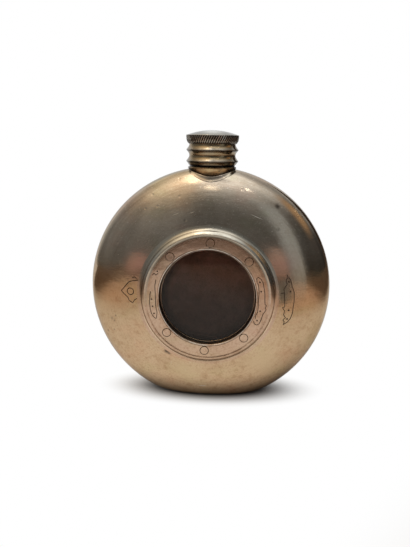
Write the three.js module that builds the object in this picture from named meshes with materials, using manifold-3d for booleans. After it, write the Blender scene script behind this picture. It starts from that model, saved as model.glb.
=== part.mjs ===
// A round pewter hip flask with a porthole window in its front and a screw cap on its neck.
// Millimetres, +Z up. The origin lies under the middle of the foot, and the window faces -Y.
import * as THREE from "three";
import { mergeVertices } from "three/addons/utils/BufferGeometryUtils.js";
import Module from "manifold-3d";

// Fit of pieces that are soldered, clamped, pressed or screwed together
const FIT_GAP = 0.3;

// Body: two spun halves, flattened underneath so that the flask stands
const BODY_RADIUS = 50;
const BODY_HALF_DEPTH = 20;
const BODY_FULLNESS = 2.2; // power of the section's curve: 2 is an ellipse, more is fuller
const FOOT_CUT = 5; // height of the flat foot above the lowest point of the full circle
const SHELL_WALL = 1.5;
const SEAM_LAP = 3; // how far the rear half's lip reaches inside the front half

// Bezel: the raised porthole ring, from its opening outwards
const WINDOW_RADIUS = 18.8;
const LIP_WIDTH = 0.7;
const LIP_STAND = 0.2; // above the flat plate
const LINE_WIDTH = 0.3; // fine groove between the lip and the plate
const PLATE_WIDTH = 3.9;
const PLATE_DROP = 0.25; // below the crest of the rounded edge
const PLATE_THICKNESS = 1.25;
const GROOVE_WIDTH = 0.5; // groove between the plate and the rounded edge
const GROOVE_DEPTH = 0.25; // of both grooves
const EDGE_WIDTH = 2.4;
const EDGE_LAND = 0.5; // flat part of the edge's crest
const BEZEL_TURN = THREE.MathUtils.degToRad(2.2); // how far the ring sits turned clockwise, from the front

// Window behind the bezel
const GLASS_THICKNESS = 3;
const GLASS_COVER = 1.4; // how far the glass reaches under the bezel
const GASKET_THICKNESS = 0.8;
const GASKET_SHOW = 1; // how far the outer gasket shows inside the bezel's opening
const SEAT_SETBACK = 0.3; // of the seat ring's outside behind the plate's outer edge
const LEDGE_WIDTH = 1.9;
const LEDGE_THICKNESS = 1.2;
const FLANGE_WIDTH = 2.1; // of the flange soldered under the front shell
const FLANGE_THICKNESS = 1.2;

// Rivets: in the middle of the bezel's plate, at equal turns, with none at its two sides
const RIVET_PLACES = 8;
const RIVET_HEAD_RADIUS = 1.55;
const RIVET_HEAD_THICKNESS = 0.55;
const RIVET_SHANK_RADIUS = 0.6;
const RIVET_SHANK_LENGTH = 3.2;

// Neck
const SPOUT_BORE_RADIUS = 5.2;
const SPOUT_WALL = 1.2; // at the root of the thread
const SPOUT_RISE = 9.75; // from the collar's top to the lip
const SPOUT_TAIL = 0.85; // into the body, below the lowest edge of the hole that it goes through
const LIP_CHAMFER = 0.3;
const COLLAR_WIDTH = 2.3;
const COLLAR_STAND = 0.25; // above the top of the body
const COLLAR_CHAMFER = 0.3;
const THREAD_PITCH = 3.2;
const THREAD_DEPTH = 0.8;
const THREAD_CREST = 0.8; // width at the crest
const THREAD_FLANK = THREE.MathUtils.degToRad(32); // lean of each side of the thread
const THREAD_START = 2.1; // middle of the thread's lower end above the collar's top
const THREAD_END = 1.9; // middle of the thread's upper end below the lip
const THREAD_SINK = 0.1; // overlap of the wound bar with what it joins or cuts

// Cap
const CAP_LIFT = 0.5; // gap between the collar and the closed cap
const CAP_WALL = 0.7; // at the hollows between the beads
const CAP_CROWN = 0.95; // from the ceiling up to the knurled rim's top
const CAP_DOME_RISE = 1.9;
const BEAD_COUNT = 2;
const BEAD_START = 1.5; // first crest above the cap's bottom edge
const BEAD_STAND = 1.05;
const KNURL_HEIGHT = 2.9;
const KNURL_STAND = 1.13; // of the knurl's tips above the hollows
const KNURL_DEPTH = 0.3;
const KNURL_COUNT = 70;
const KNURL_SLANT = THREE.MathUtils.degToRad(26);
const INSERT_WALL = 1; // behind the thread
const INSERT_RECESS = 0.6; // above the cap's bottom edge
const SPARE_TURNS = 1; // by which the insert's groove is cut past each of its ends
const SEAL_THICKNESS = 1;

// Fineness of the round surfaces
const BODY_SEGMENTS = 60;
const BODY_STATIONS = 7; // along a quarter of the section
const RING_SEGMENTS = 40;
const RIVET_SEGMENTS = 12;
const EDGE_STATIONS = 4;
const BEAD_STATIONS = 6;
const DOME_STATIONS = 4;
const THREAD_STEPS = 20; // in a turn

// Places that follow from the sizes
const FULL_TURN = 2 * Math.PI;
const FAR = 4 * BODY_RADIUS; // clear of everything
const bodyHeight = BODY_RADIUS - FOOT_CUT; // of the window's axis above the foot
const bodyTop = bodyHeight + BODY_RADIUS;

const plateInner = WINDOW_RADIUS + LIP_WIDTH + LINE_WIDTH;
const plateOuter = plateInner + PLATE_WIDTH;
const edgeInner = plateOuter + GROOVE_WIDTH;
const bezelRadius = edgeInner + EDGE_WIDTH;
const rivetCircle = plateInner + PLATE_WIDTH / 2;
const plateFace = BODY_HALF_DEPTH - PLATE_DROP;
const plateBack = plateFace - PLATE_THICKNESS;
const outerGasketFace = plateBack - FIT_GAP;
const glassFace = outerGasketFace - GASKET_THICKNESS - FIT_GAP;
const innerGasketFace = glassFace - GLASS_THICKNESS - FIT_GAP;
const ledgeFace = innerGasketFace - GASKET_THICKNESS - FIT_GAP;
const glassRadius = WINDOW_RADIUS + GLASS_COVER;
const seatInner = glassRadius + FIT_GAP;
const seatOuter = plateOuter - SEAT_SETBACK;
const seatFace = plateBack - FIT_GAP;
const shellHole = seatOuter + FIT_GAP;

const threadRoot = SPOUT_BORE_RADIUS + SPOUT_WALL;
const threadCrest = threadRoot + THREAD_DEPTH;
const neckHole = threadCrest + FIT_GAP;
const collarOuter = neckHole + COLLAR_WIDTH;
const collarTop = COLLAR_STAND; // heights on the neck count from the top of the body
const spoutTop = collarTop + SPOUT_RISE;
const capBottom = collarTop + CAP_LIFT;
const insertBottom = capBottom + INSERT_RECESS;
const insertBore = threadRoot + FIT_GAP;
const insertRadius = threadCrest + FIT_GAP + INSERT_WALL;
const capBore = insertRadius + FIT_GAP;
const capHollow = capBore + CAP_WALL;
const sealBottom = spoutTop + FIT_GAP;
const sealTop = sealBottom + SEAL_THICKNESS;
const capCeiling = sealTop + FIT_GAP;
const knurlTop = capCeiling + CAP_CROWN;
const knurlBottom = knurlTop - KNURL_HEIGHT;
const knurlTip = capHollow + KNURL_STAND;
const knurlRoot = knurlTip - KNURL_DEPTH;

const wasm = await Module();
wasm.setup();

// A closed geometry as a solid that can be joined and cut
function solidOf(geometry) {
  const bare = geometry.clone();
  bare.deleteAttribute("normal");
  bare.deleteAttribute("uv");
  const merged = mergeVertices(bare);
  const corners = merged.index.array;
  const triangles = [];
  for (let i = 0; i < corners.length; i += 3) {
    const [a, b, c] = corners.slice(i, i + 3);
    if (a !== b && b !== c && c !== a) triangles.push(a, b, c);
  }
  const vertProperties = new Float32Array(merged.attributes.position.array);
  const triVerts = new Uint32Array(triangles);
  return new wasm.Manifold(new wasm.Mesh({ numProp: 3, vertProperties, triVerts }));
}

function geometryOf(solid) {
  const { vertProperties, triVerts } = solid.getMesh();
  const geometry = new THREE.BufferGeometry();
  geometry.setAttribute("position", new THREE.BufferAttribute(vertProperties, 3));
  geometry.setIndex(new THREE.BufferAttribute(triVerts, 1));
  geometry.computeVertexNormals();
  return geometry;
}

// A piece turned about Y from [radius, height] points, which run up its outside and down its inside
function turned(profile, segments = RING_SEGMENTS) {
  const points = profile.map(([radius, height]) => new THREE.Vector2(radius, height));
  return new THREE.LatheGeometry(points, segments);
}

// A ring or tube, whose profile closes on itself
function turnedRing(profile, segments = RING_SEGMENTS) {
  return turned([...profile, profile[0]], segments);
}

function tube(inner, outer, low, high) {
  return turnedRing([[outer, low], [outer, high], [inner, high], [inner, low]]);
}

function rod(radius, low, high, segments = RING_SEGMENTS) {
  return turned([[0, low], [radius, low], [radius, high], [0, high]], segments);
}

// Count + 1 values from one number to another
function spread(from, to, count) {
  return Array.from({ length: count + 1 }, (_, i) => from + ((to - from) * i) / count);
}

// Everything on one side of a plane across an axis, as a box that ends on the plane
function beyond(axis, place) {
  const box = new THREE.BoxGeometry(FAR, FAR, FAR);
  const shift = new THREE.Vector3();
  shift[axis] = place + FAR / 2;
  return solidOf(box.translate(shift.x, shift.y, shift.z));
}

// Depth of the body's surface, or of one inside it, forward of the seam at a radius about the window
function domeDepth(radius, inset) {
  const share = radius / (BODY_RADIUS - inset);
  return (BODY_HALF_DEPTH - inset) * (1 - share ** BODY_FULLNESS) ** (1 / BODY_FULLNESS);
}

// How far that surface lies below the body's top, at a depth from the seam on the neck's axis
function topDrop(depth, inset) {
  const share = depth / (BODY_HALF_DEPTH - inset);
  const radius = (BODY_RADIUS - inset) * (1 - share ** BODY_FULLNESS) ** (1 / BODY_FULLNESS);
  return BODY_RADIUS - radius;
}

// The body's round form, turned about Y, with its surface moved inwards by an inset
function roundBody(inset) {
  const power = 2 / BODY_FULLNESS;
  const quarter = spread(0, Math.PI / 2, BODY_STATIONS).map((turn) => [
    (BODY_RADIUS - inset) * Math.cos(turn) ** power,
    (BODY_HALF_DEPTH - inset) * Math.sin(turn) ** power,
  ]);
  quarter[BODY_STATIONS][0] = 0;
  const rear = quarter.slice(1).reverse().map(([radius, depth]) => [radius, -depth]);
  return turned([...rear, ...quarter], BODY_SEGMENTS);
}

// The body's form with its foot cut flat, as it stands
function vessel(inset) {
  const round = solidOf(roundBody(inset).translate(0, 0, bodyHeight));
  return round.intersect(beyond("z", inset));
}

const neckCut = solidOf(rod(neckHole, 0, FAR).rotateX(Math.PI / 2).translate(0, 0, bodyHeight));
const hollow = vessel(SHELL_WALL);
const lapOutside = (SHELL_WALL - FIT_GAP) / 2; // inset of the face that the lip slides under
const lapInside = lapOutside + FIT_GAP; // inset of the lip's own outer face

function frontShell() {
  const rebate = vessel(lapOutside).intersect(beyond("y", -SEAM_LAP - FIT_GAP));
  const windowCut = solidOf(rod(shellHole, 0, FAR).rotateX(Math.PI).translate(0, 0, bodyHeight));
  const shell = vessel(0).subtract(beyond("y", -FIT_GAP / 2)).subtract(hollow);
  return geometryOf(shell.subtract(rebate).subtract(windowCut).subtract(neckCut));
}

function rearShell() {
  const lip = vessel(lapInside).intersect(beyond("y", -SEAM_LAP));
  const half = vessel(0).intersect(beyond("y", FIT_GAP / 2));
  return geometryOf(half.add(lip).subtract(hollow).subtract(neckCut));
}

// Pieces of the window, turned about Y with their heights measured forward from the seam
function seatRing() {
  const flangeOuter = seatOuter + FLANGE_WIDTH;
  const flangeFace = domeDepth(flangeOuter, SHELL_WALL) - FIT_GAP;
  const ledgeInner = seatInner - LEDGE_WIDTH;
  const ledgeBack = ledgeFace - LEDGE_THICKNESS;
  const ring = turnedRing([
    [seatOuter, ledgeBack],
    [seatOuter, flangeFace - FLANGE_THICKNESS],
    [flangeOuter, flangeFace - FLANGE_THICKNESS],
    [flangeOuter, flangeFace],
    [seatOuter, flangeFace],
    [seatOuter, seatFace],
    [seatInner, seatFace],
    [seatInner, ledgeFace],
    [ledgeInner, ledgeFace],
    [ledgeInner, ledgeBack],
  ]);
  const holeRadius = RIVET_SHANK_RADIUS + FIT_GAP;
  const holeBottom = plateFace - RIVET_HEAD_THICKNESS - RIVET_SHANK_LENGTH - FIT_GAP;
  return geometryOf(withHoles(solidOf(ring), holeRadius, holeBottom));
}

function bezelRing() {
  const crest = BODY_HALF_DEPTH;
  const foot = domeDepth(bezelRadius, 0) + FIT_GAP;
  const arcCentre = edgeInner + EDGE_LAND;
  const edge = spread(0, Math.PI / 2, EDGE_STATIONS).map((turn) => [
    arcCentre + (bezelRadius - arcCentre) * Math.cos(turn),
    foot + (crest - foot) * Math.sin(turn),
  ]);
  const ring = turnedRing([
    [seatOuter, plateBack],
    [shellHole, domeDepth(shellHole, 0) + FIT_GAP],
    ...edge,
    [edgeInner, plateFace],
    [edgeInner, plateFace - GROOVE_DEPTH],
    [plateOuter, plateFace - GROOVE_DEPTH],
    [plateOuter, plateFace],
    [plateInner, plateFace],
    [plateInner, plateFace - GROOVE_DEPTH],
    [plateInner - LINE_WIDTH, plateFace - GROOVE_DEPTH],
    [plateInner - LINE_WIDTH, plateFace + LIP_STAND / 2],
    [plateInner - LINE_WIDTH - LIP_WIDTH / 2, plateFace + LIP_STAND],
    [WINDOW_RADIUS, plateFace + LIP_STAND / 2],
    [WINDOW_RADIUS, plateBack],
  ]);
  const sunk = plateFace - RIVET_HEAD_THICKNESS - FIT_GAP;
  const countersunk = withHoles(solidOf(ring), RIVET_HEAD_RADIUS + FIT_GAP, sunk);
  return geometryOf(withHoles(countersunk, RIVET_SHANK_RADIUS + FIT_GAP, 0));
}

// Where the rivets stand on the bezel, seen from the front: the places at its two sides hold none
function rivetPlaces() {
  const places = [];
  for (let i = 0; i < RIVET_PLACES; i++) {
    const atSide = i % (RIVET_PLACES / 2) === RIVET_PLACES / 4;
    const turn = (FULL_TURN * i) / RIVET_PLACES + BEZEL_TURN;
    if (!atSide) places.push([rivetCircle * Math.sin(turn), -rivetCircle * Math.cos(turn)]);
  }
  return places;
}

// Holes for all the rivets, open to the front
function withHoles(solid, radius, bottom) {
  let cut = solid;
  for (const [across, down] of rivetPlaces()) {
    const hole = rod(radius, bottom, FAR, RIVET_SEGMENTS).translate(across, 0, down);
    cut = cut.subtract(solidOf(hole));
  }
  return cut;
}

function rivet() {
  const headBack = plateFace - RIVET_HEAD_THICKNESS;
  return turned([
    [0, headBack - RIVET_SHANK_LENGTH],
    [RIVET_SHANK_RADIUS, headBack - RIVET_SHANK_LENGTH],
    [RIVET_SHANK_RADIUS, headBack],
    [RIVET_HEAD_RADIUS, headBack],
    [RIVET_HEAD_RADIUS, plateFace],
    [0, plateFace],
  ], RIVET_SEGMENTS);
}

// Pieces of the neck and the cap, turned about Y with their heights measured from the body's top
function neckCollar() {
  const uncutBottom = -topDrop(collarOuter, SHELL_WALL);
  const ring = turnedRing([
    [collarOuter, uncutBottom],
    [collarOuter, collarTop - COLLAR_CHAMFER],
    [collarOuter - COLLAR_CHAMFER, collarTop],
    [neckHole, collarTop],
    [neckHole, uncutBottom],
  ]);
  const body = roundBody(-FIT_GAP).translate(0, 0, -BODY_RADIUS).rotateX(-Math.PI / 2);
  return geometryOf(solidOf(ring).subtract(solidOf(body)));
}

// Half the width of the spout's thread at a radius, widened all round by a clearance
function threadHalfWidth(radius, clearance) {
  return THREAD_CREST / 2 + Math.tan(THREAD_FLANK) * (threadCrest - radius) + clearance;
}

// A bar of the thread's section wound about Y as a right-hand screw
function threadBar(inner, outer, clearance, fromTurn, toTurn) {
  const innerHalf = threadHalfWidth(inner, clearance);
  const outerHalf = threadHalfWidth(outer - clearance, clearance);
  const section = [[inner, -innerHalf], [outer, -outerHalf], [outer, outerHalf], [inner, innerHalf]];
  const sides = section.length;
  const steps = Math.ceil((toTurn - fromTurn) * THREAD_STEPS);
  const positions = [];
  for (const turn of spread(fromTurn, toTurn, steps)) {
    const middle = collarTop + THREAD_START + THREAD_PITCH * turn;
    for (const [radius, offset] of section) {
      const angle = -FULL_TURN * turn;
      positions.push(radius * Math.cos(angle), middle + offset, radius * Math.sin(angle));
    }
  }
  const index = [0, 1, 2, 0, 2, 3];
  const last = sides * steps;
  index.push(last, last + 2, last + 1, last, last + 3, last + 2);
  for (let step = 0; step < steps; step++) {
    for (let side = 0; side < sides; side++) {
      const a = sides * step + side;
      const b = sides * step + ((side + 1) % sides);
      index.push(a, a + sides, b, b, a + sides, b + sides);
    }
  }
  const geometry = new THREE.BufferGeometry();
  geometry.setAttribute("position", new THREE.Float32BufferAttribute(positions, 3));
  return geometry.setIndex(index);
}

function neckSpout() {
  const spoutBottom = -topDrop(neckHole, SHELL_WALL) - SPOUT_TAIL;
  const pipe = turnedRing([
    [threadCrest, spoutBottom],
    [threadCrest, collarTop],
    [threadRoot, capBottom],
    [threadRoot, spoutTop - LIP_CHAMFER],
    [threadRoot - LIP_CHAMFER, spoutTop],
    [SPOUT_BORE_RADIUS, spoutTop],
    [SPOUT_BORE_RADIUS, spoutBottom],
  ]);
  const turns = (SPOUT_RISE - THREAD_START - THREAD_END) / THREAD_PITCH;
  const thread = threadBar(threadRoot - THREAD_SINK, threadCrest, 0, 0, turns);
  return geometryOf(solidOf(pipe).add(solidOf(thread)));
}

function capThreadInsert() {
  const bush = solidOf(tube(insertBore, insertRadius, insertBottom, spoutTop));
  const below = (insertBottom - collarTop - THREAD_START) / THREAD_PITCH - SPARE_TURNS;
  const above = (spoutTop - collarTop - THREAD_START) / THREAD_PITCH + SPARE_TURNS;
  const groove = threadBar(insertBore - THREAD_SINK, threadCrest + FIT_GAP, FIT_GAP, below, above);
  return geometryOf(bush.subtract(solidOf(groove)));
}

// The knurled rim: a toothed disc whose teeth lean as they rise
function knurledRim() {
  const lean = (KNURL_HEIGHT * Math.tan(KNURL_SLANT)) / knurlTip;
  const count = 2 * KNURL_COUNT;
  const centres = [[0, knurlBottom, 0], [0, knurlTop, 0]];
  const positions = centres.flat();
  for (const [height, twist] of [[knurlBottom, 0], [knurlTop, lean]]) {
    for (let i = 0; i < count; i++) {
      const radius = i % 2 ? knurlRoot : knurlTip;
      const angle = -(FULL_TURN * i) / count - twist;
      positions.push(radius * Math.cos(angle), height, radius * Math.sin(angle));
    }
  }
  const index = [];
  for (let i = 0; i < count; i++) {
    const a = centres.length + i;
    const b = centres.length + ((i + 1) % count);
    index.push(0, b, a, 1, a + count, b + count, a, b, b + count, a, b + count, a + count);
  }
  const geometry = new THREE.BufferGeometry();
  geometry.setAttribute("position", new THREE.Float32BufferAttribute(positions, 3));
  return geometry.setIndex(index);
}

// The cap's beads: sharp crests with round hollows between them, evenly spaced below the knurl
function beadOutline() {
  const pitch = (knurlBottom - capBottom) / BEAD_COUNT;
  return spread(capBottom, knurlBottom, BEAD_COUNT * BEAD_STATIONS).map((height) => {
    const turn = (Math.PI * (height - capBottom - BEAD_START)) / pitch;
    return [capHollow + BEAD_STAND * (1 - Math.abs(Math.sin(turn))), height];
  });
}

function capShell() {
  const domeEdge = knurlRoot;
  const dome = spread(0, Math.PI / 2, DOME_STATIONS).map((turn) => [
    domeEdge * Math.cos(turn),
    knurlTop + CAP_DOME_RISE * Math.sin(turn),
  ]);
  dome[DOME_STATIONS][0] = 0;
  const core = turned([
    [0, capCeiling],
    [capBore, capCeiling],
    [capBore, capBottom],
    ...beadOutline(),
    [knurlRoot, knurlBottom],
    ...dome,
  ]);
  const bore = rod(capBore, -FAR, capCeiling);
  return geometryOf(solidOf(core).add(solidOf(knurledRim())).subtract(solidOf(bore)));
}

function piece(name, geometry, color, roughness, metalness = 1) {
  const mesh = new THREE.Mesh(geometry, new THREE.MeshStandardMaterial({ color, roughness, metalness }));
  mesh.name = name;
  return mesh;
}

const PEWTER = "#a8977c";
const TARNISHED = "#6b5a45";
const BRASS = "#a98a52";

const flask = new THREE.Group();
flask.add(piece("front_shell", frontShell(), PEWTER, 0.3), piece("rear_shell", rearShell(), PEWTER, 0.3));

const porthole = new THREE.Group();
porthole.position.z = bodyHeight;
porthole.rotation.x = Math.PI;
flask.add(porthole);
const outerGasket = tube(
  WINDOW_RADIUS - GASKET_SHOW, glassRadius, outerGasketFace - GASKET_THICKNESS, outerGasketFace);
const innerGasket = tube(
  seatInner - LEDGE_WIDTH, glassRadius, innerGasketFace - GASKET_THICKNESS, innerGasketFace);
porthole.add(
  piece("window_seat_ring", seatRing(), TARNISHED, 0.5),
  piece("window_gasket_inner", innerGasket, "#161514", 0.7, 0),
  piece("window_glass", rod(glassRadius, glassFace - GLASS_THICKNESS, glassFace), "#2e2824", 0.05, 0),
  piece("window_gasket_outer", outerGasket, "#161514", 0.6, 0),
  piece("bezel_ring", bezelRing(), PEWTER, 0.3),
);
rivetPlaces().forEach(([across, down], i) => {
  const stud = piece("bezel_rivet_" + (i + 1), rivet(), PEWTER, 0.35);
  stud.position.set(across, 0, down);
  porthole.add(stud);
});

const neck = new THREE.Group();
neck.position.z = bodyTop;
neck.rotation.x = Math.PI / 2;
flask.add(neck);
neck.add(
  piece("neck_collar", neckCollar(), TARNISHED, 0.4),
  piece("neck_spout", neckSpout(), PEWTER, 0.35),
  piece("cap_shell", capShell(), PEWTER, 0.3),
  piece("cap_thread_insert", capThreadInsert(), BRASS, 0.4),
  piece("cap_seal", rod(insertRadius, sealBottom, sealTop), "#9c7650", 0.9, 0),
);

export default flask;
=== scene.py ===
import math

import bpy
from mathutils import Matrix, Vector


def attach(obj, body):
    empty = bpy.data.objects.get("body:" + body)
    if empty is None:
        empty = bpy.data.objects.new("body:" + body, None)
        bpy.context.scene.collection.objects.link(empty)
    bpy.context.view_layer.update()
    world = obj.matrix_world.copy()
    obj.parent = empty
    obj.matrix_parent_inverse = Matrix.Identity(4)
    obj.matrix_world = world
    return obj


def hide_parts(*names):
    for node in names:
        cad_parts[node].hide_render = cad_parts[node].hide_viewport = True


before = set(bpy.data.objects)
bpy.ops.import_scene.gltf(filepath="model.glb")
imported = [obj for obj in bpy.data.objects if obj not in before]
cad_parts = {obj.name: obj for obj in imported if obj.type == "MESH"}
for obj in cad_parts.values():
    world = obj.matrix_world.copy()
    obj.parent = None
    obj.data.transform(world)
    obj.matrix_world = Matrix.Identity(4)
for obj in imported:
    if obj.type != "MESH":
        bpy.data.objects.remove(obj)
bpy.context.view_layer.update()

# Sizes in millimetres, brought to metres where a piece is drawn
MM = 0.001
FULL_TURN = 2 * math.pi
SAME_POINT = 0.002  # points closer than this are merged
HAIR = 0.001  # anything shorter counts as nothing
SHARP_ANGLE = 32  # degrees; less of a bend is shaded smooth
BODY_RADIUS = 49.965
BODY_HALF_DEPTH = 19.999
BODY_FULLNESS = 2.2  # power of the section's curve: 2 is an ellipse, and more is fuller
WINDOW_HEIGHT = 45  # of the window's axis above the foot
SHELL_WALL = 1.5
SEAM = 0.004  # from the middle of the body to the edge of each half
SEAM_GROOVE = 0.07  # depth of the fine line that the soldered seam leaves
FOOT_ROUND = 1.6  # height of the rounding round the foot
FOOT_LEAN = math.radians(36)  # of the dome from upright, where the rounding starts
NECK_HOLE_RADIUS = 7.5
WINDOW_HOLE_RADIUS = 23.7
PLATE_FACE = 19.75  # depths on the porthole count forward from the seam
RING_TURN = math.radians(2.2)
RIVET_CIRCLE = 21.75
RIVET_PLACES = 8
RIVETS = [0, 1, 3, 4, 5, 7]  # the places in use, counted from the top: none at the two sides
RIVET_RADIUS = 1.56
RIVET_HOLE_RADIUS = 1.81
RETAINER_RADIUS = 18.62
RETAINER_DEPTH = 17.26
RETAINER_WIRE = 0.13
THREAD_PITCH = 3.2
CAP_FOOT = 95.75
CAP_WAIST = 9.2  # radius at the hollows between the beads
BEAD_COUNT = 2
BEAD_PITCH = 4.45
BEAD_STAND = 1.35
BEAD_ROUND = 0.14  # how far the beads' crests are rounded off
FIRST_BEAD = 1.5  # its crest above the cap's foot
DOME_RADIUS = 10.5
DOME_FOOT = 107.5
DOME_RISE = 1.93
KNURL_TEETH = 70
KNURL_LEAN = math.radians(26)
KNURL_TIP = 10.63
KNURL_ROOT = 10.25
KNURL_FOOT = 104.05
KNURL_BORE = 9.0

# Steps in a full turn
BODY_STEPS = 224
HOLLOW_STEPS = 96
RING_STEPS = 192
RIVET_STEPS = 40
NECK_STEPS = 128
THREAD_STEPS = 48


def dome_depth(radius):
    share = (radius / BODY_RADIUS) ** BODY_FULLNESS
    return BODY_HALF_DEPTH * (1 - share) ** (1 / BODY_FULLNESS)


def on_front(across, height):
    """A place on the front dome, from its distance across and its height above the foot."""
    return across, -dome_depth(math.hypot(across, height - WINDOW_HEIGHT)), height


# Drawing and turning


def clear_selection():
    bpy.ops.object.select_all(action="DESELECT")


def take(piece):
    """Makes one piece the selected and active one."""
    clear_selection()
    piece.select_set(True)
    bpy.context.view_layer.objects.active = piece


def front(radius, depth):
    """A point of a porthole or body outline: out from the window's axis and forward from the seam."""
    return Vector((radius, -depth, WINDOW_HEIGHT)) * MM


def upright(radius, height):
    """A point of a neck or cap outline: out from the neck's axis and up from the foot."""
    return Vector((radius, 0, height)) * MM


def draw_chain(points):
    """In edit mode: one loose line through the points, drawn from a merged plane by extruding its vertex."""
    bpy.ops.mesh.select_all(action="DESELECT")
    bpy.ops.mesh.primitive_plane_add(size=MM, location=points[0])
    bpy.ops.mesh.merge(type="CENTER")
    for here, there in zip(points, points[1:]):
        bpy.ops.mesh.extrude_vertices_move(TRANSFORM_OT_translate={"value": there - here})


def start_piece(name):
    """An empty mesh at the origin, in edit mode: the plane that starts it is taken out at once."""
    clear_selection()
    bpy.ops.mesh.primitive_plane_add(size=MM, location=(0, 0, 0))
    piece = bpy.context.object
    piece.name = name
    bpy.ops.object.mode_set(mode="EDIT")
    bpy.ops.mesh.select_all(action="SELECT")
    bpy.ops.mesh.delete(type="VERT")
    return piece


def close_up():
    """In edit mode: merges the doubles and turns all faces outwards."""
    bpy.ops.mesh.select_all(action="SELECT")
    bpy.ops.mesh.remove_doubles(threshold=SAME_POINT * MM)
    bpy.ops.mesh.dissolve_degenerate(threshold=HAIR * MM)
    bpy.ops.mesh.select_all(action="SELECT")
    bpy.ops.mesh.normals_make_consistent(inside=False)


def turn_piece(name, outline, centre, axis, steps):
    """An outline spun round an axis into a solid. It closes on itself unless both ends lie on the axis."""
    piece = start_piece(name)
    ends = outline[0], outline[-1]
    on_axis = [(end - Vector(centre)).cross(Vector(axis)).length < HAIR * MM for end in ends]
    draw_chain(outline if all(on_axis) else outline + [outline[0]])
    bpy.ops.mesh.select_all(action="SELECT")
    bpy.ops.mesh.spin(steps=steps, angle=FULL_TURN, center=centre, axis=axis)
    close_up()
    bpy.ops.object.mode_set(mode="OBJECT")
    return piece


def turn_front(name, outline, steps=RING_STEPS):
    points = [front(radius, depth) for radius, depth in outline]
    return turn_piece(name, points, front(0, 0), (0, 1, 0), steps)


def turn_upright(name, outline, steps=NECK_STEPS):
    points = [upright(radius, height) for radius, height in outline]
    return turn_piece(name, points, (0, 0, 0), (0, 0, 1), steps)


def combine(piece, tool, operation="DIFFERENCE"):
    """Cuts a tool out of a piece, joins it on or keeps what both share. The tool is used up."""
    take(piece)
    bpy.ops.object.modifier_add(type="BOOLEAN")
    change = piece.modifiers[-1]
    change.operation = operation
    change.solver = "EXACT"
    change.material_mode = "TRANSFER"
    change.object = tool
    bpy.ops.object.modifier_apply(modifier=change.name)
    bpy.data.objects.remove(tool)


def drill(piece, radius, length, place, finish, sides, lean=0):
    """Drills a round hole, upright or leaning forward, and paints its wall."""
    clear_selection()
    bpy.ops.mesh.primitive_cylinder_add(
        vertices=sides, radius=radius * MM, depth=length * MM, location=place, rotation=(lean, 0, 0))
    bit = bpy.context.object
    paint(bit, finish)
    combine(piece, bit)


def soften(piece, width, segments=2, angle=40):
    """Rounds the sharp edges of a turned piece."""
    take(piece)
    bpy.ops.object.modifier_add(type="BEVEL")
    change = piece.modifiers[-1]
    change.width = width * MM
    change.segments = segments
    change.limit_method = "ANGLE"
    change.angle_limit = math.radians(angle)
    bpy.ops.object.modifier_apply(modifier=change.name)


def smooth(piece, angle=SHARP_ANGLE):
    """Merges the slivers that cutting leaves, then shades round surfaces smooth, led by their larger
    faces, and leaves the edges sharp."""
    take(piece)
    bpy.ops.object.mode_set(mode="EDIT")
    bpy.ops.mesh.select_all(action="SELECT")
    bpy.ops.mesh.remove_doubles(threshold=SAME_POINT * MM)
    bpy.ops.object.mode_set(mode="OBJECT")
    bpy.ops.object.shade_smooth_by_angle(angle=math.radians(angle))
    bpy.ops.object.modifier_add(type="WEIGHTED_NORMAL")
    change = piece.modifiers[-1]
    change.weight = 90
    change.keep_sharp = True
    bpy.ops.object.modifier_apply(modifier=change.name)


def paint(piece, finish):
    piece.data.materials.clear()
    piece.data.materials.append(finish)


def fit(piece, body, slot, *nodes):
    """Puts a finished piece on its body, in the place of its solids if it has any."""
    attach(piece, body)
    if nodes:
        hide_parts(*nodes)


def dress(piece, finish, body, slot, *nodes, angle=SHARP_ANGLE):
    """Paints, smooths and fits a piece that has one finish."""
    paint(piece, finish)
    smooth(piece, angle)
    fit(piece, body, slot, *nodes)


# Finishes


def new_finish(name, colour, metal, rough):
    finish = bpy.data.materials.new(name)
    finish.use_nodes = True
    shader = finish.node_tree.nodes["Principled BSDF"]
    shader.inputs["Base Color"].default_value = (*colour, 1)
    shader.inputs["Metallic"].default_value = metal
    shader.inputs["Roughness"].default_value = rough
    return finish


def add(finish, kind, **settings):
    """A node with its settings, and its input values or links given by name or number."""
    tree = finish.node_tree
    node = tree.nodes.new(kind)
    links = settings.pop("links", {})
    for key, value in settings.items():
        setattr(node, key, value)
    for key, value in links.items():
        if isinstance(value, bpy.types.NodeSocket):
            tree.links.new(value, node.inputs[key])
        else:
            node.inputs[key].default_value = value
    return node


def place_of(finish):
    return add(finish, "ShaderNodeTexCoord").outputs["Object"]


def cloud(finish, place, scale, detail=4, stretch=(1, 1, 1), turn=(0, 0, 0)):
    """Noise from 0 to 1; scale is the number of patches in a metre."""
    laid = add(finish, "ShaderNodeMapping", links={"Vector": place, "Rotation": turn, "Scale": stretch})
    noise = add(finish, "ShaderNodeTexNoise", links={
        "Vector": laid.outputs[0], "Scale": scale, "Detail": detail})
    return noise.outputs[0]


def between(finish, value, low, high, to_low=0.0, to_high=1.0):
    """A value brought softly from one range to another."""
    ranged = add(
        finish, "ShaderNodeMapRange", interpolation_type="SMOOTHSTEP",
        links={"Value": value, "From Min": low, "From Max": high, "To Min": to_low, "To Max": to_high})
    return ranged.outputs[0]


def reckon(finish, operation, first, second=0.0):
    return add(finish, "ShaderNodeMath", operation=operation, links={0: first, 1: second}).outputs[0]


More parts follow.
